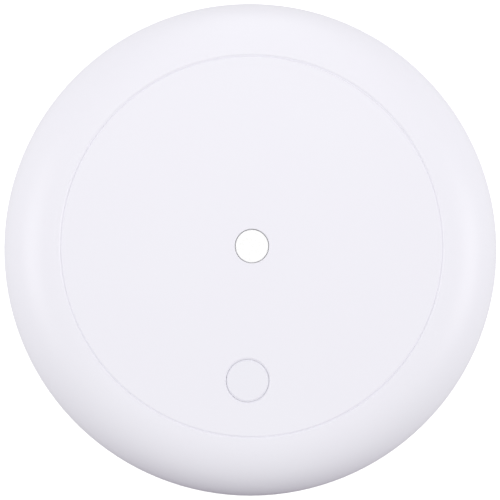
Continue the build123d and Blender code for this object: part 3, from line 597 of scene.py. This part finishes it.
def strip(mesh, line, width, height):
    """A flat strip on the board along a line of points, with mitred corners."""
    points = [Vector(point) for point in line]
    runs = [(end - start).normalized() for start, end in zip(points, points[1:])]
    rings = []
    for index, point in enumerate(points):
        headings = runs[max(index - 1, 0):index + 1]
        middle = sum(headings, Vector((0.0, 0.0))).normalized()
        side = Vector((-middle.y, middle.x)) * (width / 2 / middle.dot(headings[0]))
        rings.append([(*(point + side), board_top - sunk), (*(point - side), board_top - sunk),
                      (*(point - side), board_top + height), (*(point + side), board_top + height)])
    skin(mesh, rings)


def arc_line(radius, start, end, steps=48):
    """Points along an arc about the board's middle, between two angles in degrees."""
    angles = [math.radians(start + (end - start) * step / steps) for step in range(steps + 1)]
    return [(radius * math.cos(angle), radius * math.sin(angle)) for angle in angles]


def at(x, y, turn=0.0, height=None):
    """The place of a piece that stands on the board, or at a height, turned about its upright axis."""
    return Matrix.Translation((x, y, board_top if height is None else height)) @ Matrix.Rotation(turn, 4, "Z")


def solder_joint(mesh, place, lead, pad, height, corners=(0.02, 0.12), wall=0.0):
    """A tinned pad whose solder rises in a hollow curve to the lead that stands on it.

    The lead and the pad are each given as (start, end, half width) along the place's X axis. Under a can,
    the joint is a frame as wide inside as the can's wall is thick.
    """
    rings = []
    for step in range(solder_steps + 1):
        share = step / solder_steps
        start, end, half = [inner + (outer - inner) * share for inner, outer in zip(lead, pad)]
        corner = corners[0] + (corners[1] - corners[0]) * share
        rise = pad_height + (height - pad_height) * (1 - share) ** 3
        rings.append(rounded_outline((start, -half), (end, half), corner, rise))
    rings.append(rounded_outline((pad[0], -pad[2]), (pad[1], pad[2]), corners[1], -sunk))
    if wall:
        rings += [rounded_outline((lead[0] + wall, wall - lead[2]), (lead[1] - wall, lead[2] - wall),
                                  corners[0], level) for level in (-sunk, height)]
    skin(mesh, [[place @ point for point in ring] for ring in rings], joined=wall > 0)


def finish_piece(name, mesh, material, body, smooth=False):
    """Makes a piece from its mesh in millimetres, and lets it ride on the body that carries it."""
    bmesh.ops.recalc_face_normals(mesh, faces=mesh.faces)
    for vertex in mesh.verts:
        vertex.co *= millimetre
    for face in mesh.faces:
        face.smooth = smooth
    data = bpy.data.meshes.new(name)
    mesh.to_mesh(data)
    mesh.free()
    data.materials.append(material)
    piece = new_object(name, data)
    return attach(piece, body)


def box_of(node):
    """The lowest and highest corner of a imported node, in millimetres."""
    return [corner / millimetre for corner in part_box(node)]


def middle_of(node):
    """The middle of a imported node's box, in millimetres."""
    low, high = box_of(node)
    return (low + high) / 2


def loose_boxes(node):
    """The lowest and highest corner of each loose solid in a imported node, in millimetres."""
    mesh = bmesh.new()
    mesh.from_mesh(nodes[node].data)
    bmesh.ops.remove_doubles(mesh, verts=mesh.verts, dist=0.001 * millimetre)
    waiting = set(mesh.verts)
    boxes = []
    while waiting:
        reached = [waiting.pop()]
        for vertex in reached:
            for edge in vertex.link_edges:
                other = edge.other_vert(vertex)
                if other in waiting:
                    waiting.remove(other)
                    reached.append(other)
        boxes.append([Vector([pick(vertex.co[axis] for vertex in reached) / millimetre for axis in range(3)])
                      for pick in (min, max)])
    mesh.free()
    return sorted(boxes, key=lambda box: (round(box[0].x, 3), round(box[0].y, 3)))


def lead_toe(box, owner):
    """The place of a lead's outer end on the board, turned so that its X axis points away from its owner."""
    middle = (box[0] + box[1]) / 2
    away = middle - owner
    quarter = round(math.atan2(away.y, away.x) / (math.pi / 2))
    turn = quarter * math.pi / 2
    reach = (box[1] - box[0]).x / 2 if quarter % 2 == 0 else (box[1] - box[0]).y / 2
    return at(middle.x + reach * math.cos(turn), middle.y + reach * math.sin(turn), turn)


def chip_form(box):
    """A chip's middle, its length, width and height, and its turn: none along X, a quarter along Y."""
    size = box[1] - box[0]
    turn = 0.0 if size.x > size.y else math.pi / 2
    return (box[0] + box[1]) / 2, (max(size.x, size.y), min(size.x, size.y), size.z), turn


def end_places(box, inset=None):
    """Places on the board at a box's two ends along X: at their middle, or at an inset from both corners."""
    low, high = box
    rows = ((low.y + high.y) / 2,) if inset is None else (low.y + inset, high.y - inset)
    return [at(x, y, turn) for x, turn in ((low.x, math.pi), (high.x, 0.0)) for y in rows]


def further(x, y, distance, turn):
    """The point at a distance from another one, along a turn."""
    return x + distance * math.cos(turn), y + distance * math.sin(turn)


def solder_leads(mesh):
    """The joints of every lead, chip end, can, tab and leg that stands on the board."""
    controller = middle_of("controller_body")
    for box in loose_boxes("controller_leads"):
        solder_joint(mesh, lead_toe(box, controller), *controller_joint)

    switches = [middle_of("test_switch_body"), middle_of("tamper_switch_body")]
    for box in loose_boxes("switch_leads"):
        owner = min(switches, key=lambda switch: (switch - box[0]).length)
        solder_joint(mesh, lead_toe(box, owner), *push_switch_joint)

    for box in loose_boxes("chip_components"):
        middle, size, along = chip_form(box)
        for turn in (along, along + math.pi):
            solder_joint(mesh, at(*further(middle.x, middle.y, size[0] / 2, turn), turn), *chip_joint)

    for x, y, turn in dip_lead_places():
        solder_joint(mesh, at(x, y, turn), *dip_joint)

    for node, inset, joint in (("status_led_body", None, lamp_joint),
                               ("timing_crystal", crystal_joint_inset, crystal_joint),
                               ("capacitor_base", None, capacitor_joint)):
        for place in end_places(box_of(node), inset):
            solder_joint(mesh, place, *joint)

    solder_can(mesh)
    for node in ("battery_contact_positive", "battery_contact_negative"):
        solder_contact(mesh, middle_of(node).x)

    for angle in antenna_leg_angles:
        turn = math.radians(angle)
        place = at(*further(0.0, 0.0, antenna_radius, turn), turn + math.pi / 2)
        solder_joint(mesh, place, *antenna_joint)


def solder_can(mesh):
    """The joint all round the foot of the radio's can."""
    low, high = box_of("radio_shield")
    half = (high - low) / 2
    solder_joint(mesh, at(low.x + half.x, low.y + half.y), (-half.x, half.x, half.y),
                 (-half.x - can_pad_border, half.x + can_pad_border, half.y + can_pad_border),
                 can_joint_rise, can_joint_corners, can_wall)


def solder_contact(mesh, middle_x):
    """The joint of a battery contact's tab, which stands across the board's straight edge."""
    half = contact_tab_reach / 2
    place = at(middle_x, box_of("circuit_board")[1].y - half, math.pi / 2)
    solder_joint(mesh, place, (-half, half - contact_tab_set_back, contact_tab_half_thickness),
                 (-half - contact_pad_border, half - contact_pad_set_back, contact_pad_half_width),
                 contact_joint_rise)


def dip_lead_places():
    """Where the sensitivity switch's four leads leave its body."""
    low, high = box_of("dip_switch_body")
    middle_x = (low.x + high.x) / 2
    return [(middle_x + side * dip_pitch / 2, edge, turn) for side in (-1, 1)
            for edge, turn in ((low.y, -math.pi / 2), (high.y, math.pi / 2))]


def dip_leads(mesh):
    """The sensitivity switch's bent leads."""
    for x, y, turn in dip_lead_places():
        skin(mesh, [[at(x, y, turn) @ Vector((along, side * dip_lead_half_width, height))
                     for along, height in dip_lead_profile] for side in (-1, 1)])


def chip_ends(mesh):
    """The tinned caps on both ends of every chip, and on the status light."""
    for box in loose_boxes("chip_components"):
        middle, (length, width, height), turn = chip_form(box)
        reach = length / 2 - chip_cap_length / 2 + chip_cap_wall
        for side in (-1, 1):
            place = at(*further(middle.x, middle.y, side * reach, turn), turn)
            rounded_block(mesh, place, chip_cap_length, width + 2 * chip_cap_wall, height + chip_cap_wall,
                          chip_cap_round, chip_cap_round)
    low, high = box_of("status_led_body")
    for x in (low.x, high.x):
        rounded_block(mesh, at(x, (low.y + high.y) / 2), lamp_cap_length, lamp_cap_width, lamp_cap_height,
                      lamp_cap_round, lamp_cap_round)


def resistor_glazes(mesh):
    """The black glaze on the chips that are resistors: every other one."""
    for box in loose_boxes("chip_components")[::2]:
        middle, (length, width, height), turn = chip_form(box)
        rounded_block(mesh, at(middle.x, middle.y, turn, box[1].z - glaze_sunk),
                      length - 2 * (chip_cap_length - glaze_inset), width - 2 * glaze_inset,
                      glaze_thickness, glaze_corner, glaze_edge_break)


def copper_tracks(mesh):
    """The copper that joins the parts, raised a little under the solder mask."""
    for width, height, lines in ((signal_width, signal_height, signal_tracks),
                                 (power_width, power_height, power_tracks),
                                 (battery_width, battery_height, battery_tracks)):
        for line in lines:
            strip(mesh, line, width, height)


def plated_vias(mesh):
    """Solder-filled holes that take tracks to the board's other side, and round test lands."""
    for place in via_places:
        turned(mesh, place, board_top, via_profile, coarse_sides)
    for index in range(test_land_count):
        place = (test_land_start[0] + index * test_land_pitch, test_land_start[1])
        turned(mesh, place, board_top, test_land_profile)
    for place in fiducial_places:
        turned(mesh, place, board_top, fiducial_profile)


def screw_lands(mesh):
    """The bare tinned ring under each board screw's head."""
    for box in loose_boxes("board_screws"):
        turned(mesh, (box[0] + box[1]) / 2, board_top, screw_land_profile, fine_sides, joined=True)


def print_corners(mesh, box, gap, arm, corners):
    """Printed angles at a gap outside the corners of a part."""
    low, high = box
    middle, half = (low + high) / 2, (high - low) / 2
    for side_x, side_y in corners:
        x = middle.x + side_x * (half.x + gap)
        y = middle.y + side_y * (half.y + gap)
        strip(mesh, ((x - side_x * arm, y), (x, y), (x, y - side_y * arm)), print_width, print_height)


def print_sides(mesh, box, along_x, gap, length):
    """A printed line at a gap outside two opposite sides of a part."""
    middle = (box[0] + box[1]) / 2
    for side in (0, 1):
        if along_x:
            y = box[side].y + (2 * side - 1) * gap
            line = ((middle.x - length / 2, y), (middle.x + length / 2, y))
        else:
            x = box[side].x + (2 * side - 1) * gap
            line = ((x, middle.y - length / 2), (x, middle.y + length / 2))
        strip(mesh, line, print_width, print_height)


def board_print(mesh):
    """White outlines and marks round the parts, with no lettering."""
    for box in loose_boxes("chip_components"):
        print_sides(mesh, box, chip_form(box)[2] == 0.0, chip_print_gap, chip_print_length)
    for node, *line in printed_sides:
        print_sides(mesh, box_of(node), *line)
    for node, *angle in printed_corners:
        print_corners(mesh, box_of(node), *angle)
    # The ring stays open beside the radio's can
    strip(mesh, arc_line(boot_ring_radius, *boot_ring_angles), print_width, print_height)
    for dot in pin_one_dots:
        turned(mesh, dot, board_top, print_dot_profile)
    low, high = blank_panel
    skin(mesh, [[at(0, 0) @ point for point in rounded_outline(low, high, blank_panel_corner, level)]
                for level in (-sunk, print_height)])


def switch_rivets(mesh):
    """The four heat-formed plastic heads that hold each push switch's plate."""
    for node in ("test_switch_plate", "tamper_switch_plate"):
        low, high = box_of(node)
        for x in (low.x + rivet_inset, high.x - rivet_inset):
            for y in (low.y + rivet_inset, high.y - rivet_inset):
                turned(mesh, (x, y), high.z, rivet_profile)


def crystal_lid(mesh):
    """The lid that is seam-welded on the crystal's can."""
    low, high = box_of("timing_crystal")
    rounded_block(mesh, at((low.x + high.x) / 2, (low.y + high.y) / 2, 0.0, high.z),
                  high.x - low.x - 2 * crystal_lid_inset, high.y - low.y - 2 * crystal_lid_inset,
                  crystal_lid_thickness, crystal_lid_corner, crystal_lid_edge_break)


def package_marks(mesh):
    """The round mould dimple's shiny floor that marks the controller's first pin."""
    low, high = box_of("controller_body")
    turned(mesh, (low.x + pin_one_dimple_inset, low.y + pin_one_dimple_inset), high.z, pin_one_dimple_profile)


def ejector_marks(mesh, places, base, facing):
    """The faint raised rings that a mould's ejector pins leave, on a floor that faces up (1) or down (-1)."""
    profile = [(radius, facing * height) for radius, height in ejector_profile]
    for place in places:
        turned(mesh, place, base, profile, fine_sides, joined=True)


def make_details(materials):
    """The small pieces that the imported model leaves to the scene. All but one ride on the base."""
    solder = reflowed_solder()
    for name, build, material, slot, smooth in (
            ("solder_joints", solder_leads, solder, "tinned_leads", True),
            ("chip_end_caps", chip_ends, solder, "tinned_leads", False),
            ("dip_switch_leads", dip_leads, materials["tinned_leads"], "tinned_leads", False),
            ("plated_vias", plated_vias, solder, "tinned_leads", False),
            ("screw_lands", screw_lands, solder, "tinned_leads", False),
            ("copper_tracks", copper_tracks, masked_copper(), "green_board", False),
            ("board_print", board_print, screen_ink(), "white_nylon", False),
            ("resistor_glazes", resistor_glazes, materials["black_epoxy"], "black_epoxy", False),
            ("package_marks", package_marks, materials["black_nylon"], "black_epoxy", False),
            ("switch_rivets", switch_rivets, materials["black_nylon"], "black_nylon", False),
            ("crystal_lid", crystal_lid, materials["nickel_can"], "nickel_can", False)):
        mesh = bmesh.new()
        build(mesh)
        finish_piece(name, mesh, material, "base", smooth)

    mesh = bmesh.new()
    ejector_marks(mesh, base_ejector_places, base_floor, 1)
    finish_piece("base_ejector_marks", mesh, materials["base_abs"], "base")
    mesh = bmesh.new()
    places = [further(0.0, 0.0, cover_ejector_radius, math.radians(angle)) for angle in cover_ejector_angles]
    ejector_marks(mesh, places, face_inside, -1)
    finish_piece("cover_ejector_marks", mesh, materials["cover_abs"], "cover")


def aim(thing, target, roll=0.0):
    """Turns a camera or a light at its place to look at a point, with its top towards +Y."""
    back = (thing.location - target).normalized()
    up = Matrix.Rotation(roll, 3, "Z") @ Vector((0.0, 1.0, 0.0))
    right = up.cross(back).normalized()
    thing.matrix_world = Matrix.Translation(thing.location) @ Matrix(
        (right, back.cross(right), back)).transposed().to_4x4()


def place_camera():
    """The photo's viewpoint: nearly square on, a little below the middle and to its left."""
    data = bpy.data.cameras.new("camera")
    camera = new_object("camera", data)
    face_centre = Vector((0.0, 0.0, cad_box[1].z))
    direction = Vector((-math.tan(camera_to_left), -math.tan(camera_below), 1.0)).normalized()
    camera.location = face_centre + camera_distance * direction
    aim(camera, face_centre, camera_roll)
    data.sensor_width = sensor_width * 1000
    data.lens = photo_port_scale * camera_distance / photo_side * data.sensor_width
    data.shift_x = (photo_side / 2 - photo_port[0]) / photo_side
    data.shift_y = (photo_port[1] - photo_side / 2) / photo_side
    data.clip_start = 0.01
    data.clip_end = 20.0
    bpy.context.scene.camera = camera


def add_softbox(name, azimuth, elevation, distance, size, power):
    """A square white studio light on the face. Azimuth is from +X towards +Y, elevation from the wall."""
    data = bpy.data.lights.new(name, "AREA")
    data.shape = "SQUARE"
    data.size = size
    data.energy = power
    light = new_object(name, data)
    turn, rise = math.radians(azimuth), math.radians(elevation)
    light.location = distance * Vector((
        math.cos(turn) * math.cos(rise), math.sin(turn) * math.cos(rise), math.sin(rise)))
    aim(light, Vector((0.0, 0.0, cad_box[1].z)))
    light.visible_camera = False


def light_studio():
    """An even white light tent, a soft box on each side, and three small ones that brighten the top."""
    for softbox in softboxes:
        add_softbox(*softbox)
    world = bpy.data.worlds.new("light_tent")
    bpy.context.scene.world = world
    tree = empty_tree(world)
    seen = add(tree, "LightPath").outputs["Is Camera Ray"]
    tent = add(tree, "Background", {"Color": linear("#FFFFFF"), "Strength": tent_light})
    backdrop = add(tree, "Background", {"Color": linear("#FFFFFF"), "Strength": 1.0})
    both = add(tree, "MixShader", links={0: seen, 1: tent.outputs[0], 2: backdrop.outputs[0]})
    add(tree, "OutputWorld", links={"Surface": both.outputs[0]})


def lay_floor():
    """A plain white floor. It throws light back at the rim from all sides but the tent's open one."""
    half = floor_side / 2
    mesh = bpy.data.meshes.new("floor")
    mesh.from_pydata([(-half, -half, 0), (half, -half, 0), (half, half, 0), (-half, half, 0)], [],
                     [(0, 1, 2, 3)])
    floor = new_object("floor", mesh)
    material = bpy.data.materials.new("white_floor")
    tree = empty_tree(material)
    seen = add(tree, "LightPath").outputs["Is Camera Ray"]
    white = add(tree, "BsdfDiffuse", {"Color": linear("#C8C8C8")})
    glow = add(tree, "Emission", {"Color": linear("#FFFFFF"), "Strength": floor_seen_glow})
    bright = add(tree, "AddShader", links={0: white.outputs[0], 1: glow.outputs[0]})
    toward = add(tree, "VectorMath", {"operation": "NORMALIZE"}, {0: add(tree, "TexCoord").outputs["Object"]})
    parts = add(tree, "SeparateXYZ", links={"Vector": toward.outputs[0]})
    below = add(tree, "MapRange", {"From Max": -1.0}, {"Value": parts.outputs["Y"]})
    gap = add(tree, "Math", {"operation": "POWER", 1: floor_gap_sharpness}, {0: below.outputs[0]})
    strength = add(tree, "MapRange", {"To Min": floor_glow, "To Max": 0.0}, {"Value": gap.outputs[0]})
    shade = add(tree, "Mix", {"data_type": "RGBA", 6: linear("#696969"), 7: linear("#50385A")},
                {0: gap.outputs[0]})
    dull = add(tree, "BsdfDiffuse", links={"Color": shade.outputs[2]})
    bounce = add(tree, "Emission", {"Color": linear("#FFFFFF")}, {"Strength": strength.outputs[0]})
    lit = add(tree, "AddShader", links={0: dull.outputs[0], 1: bounce.outputs[0]})
    both = add(tree, "MixShader", links={0: seen, 1: lit.outputs[0], 2: bright.outputs[0]})
    add(tree, "OutputMaterial", links={"Surface": both.outputs[0]})
    mesh.materials.append(material)


materials = build_materials()
dress_nodes(materials)
make_details(materials)
place_camera()
light_studio()
lay_floor()
bpy.context.scene.view_settings.view_transform = "Standard"
